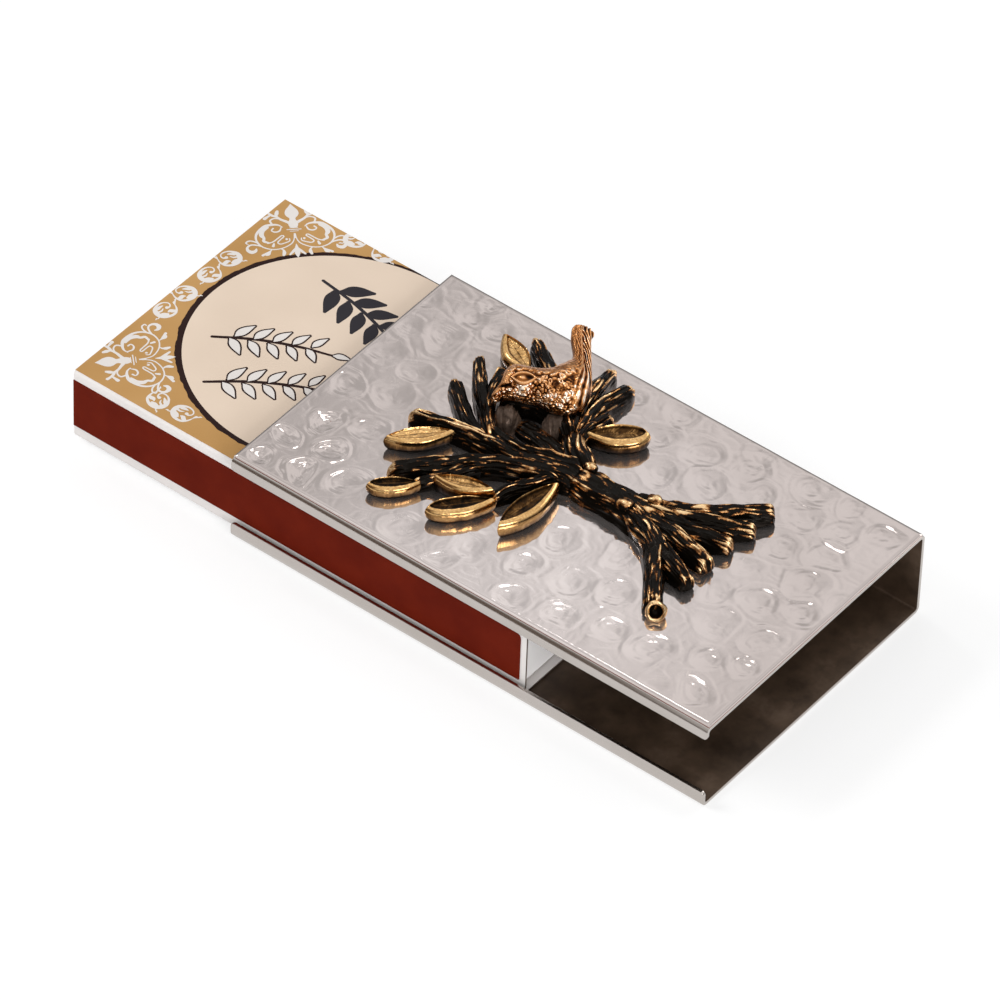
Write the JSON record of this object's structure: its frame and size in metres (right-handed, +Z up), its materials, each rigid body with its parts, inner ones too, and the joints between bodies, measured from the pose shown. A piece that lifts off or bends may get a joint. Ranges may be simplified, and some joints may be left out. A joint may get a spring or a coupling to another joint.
{
  "type": "matchbox holder",
  "caption": "Open-sided bent metal holder with a hammered top and a tree and bird in relief, carrying a sliding matchbox.",
  "frame": {"origin": "centre of the holder's flat underside", "axes": "+X along the box's slide, -Y to the open striking side, +Z up; the matchbox stands drawn out to -X"},
  "size_m": [0.1559, 0.069, 0.0304],
  "materials": {
    "polished_sheet": "polished outside, dull brown inside",
    "hammered_sheet": "polished, hammered in round dimples",
    "blackened_brass": "glossy black patina rubbed to gold along the ridges",
    "copper_gilt": "polished, warm, dark in the engraving",
    "gilt_leaf": "polished rim and matt hatched middle",
    "white_board": "smooth white board",
    "printed_paper": "printed, half matt",
    "striking_coat": "dull dark red-brown grit",
    "tray_board": "smooth white board",
    "match_wood": "bare pale wood",
    "match_tip": "dull dark red head"
  },
  "bodies": {
    "holder": {"holder_shell": "polished_sheet", "hammered_plate": "hammered_sheet", "tree_trunk": "blackened_brass", "tree_crown": "blackened_brass", "bird": "copper_gilt", "leaf_left": "gilt_leaf", "leaf_far_left": "gilt_leaf", "leaf_right": "gilt_leaf", "leaf_near_left": "gilt_leaf", "leaf_top": "gilt_leaf", "leaf_middle": "gilt_leaf", "leaf_near_right": "gilt_leaf"},
    "matchbox": {"matchbox_sleeve": "white_board", "printed_label": "printed_paper", "striker_front": "striking_coat", "striker_back": "striking_coat"},
    "drawer": {"matchbox_tray": "tray_board", "match_sticks": "match_wood", "match_heads": "match_tip"}
  },
  "joints": [
    {"name": "matchbox_slide", "type": "slide", "parent": "holder", "child": "matchbox", "axis": [1, 0, 0], "range_m": [-0.071, 0.1555]},
    {"name": "drawer_slide", "type": "slide", "parent": "matchbox", "child": "drawer", "axis": [1, 0, 0], "range_m": [-0.11, 0.1115]}
  ]
}
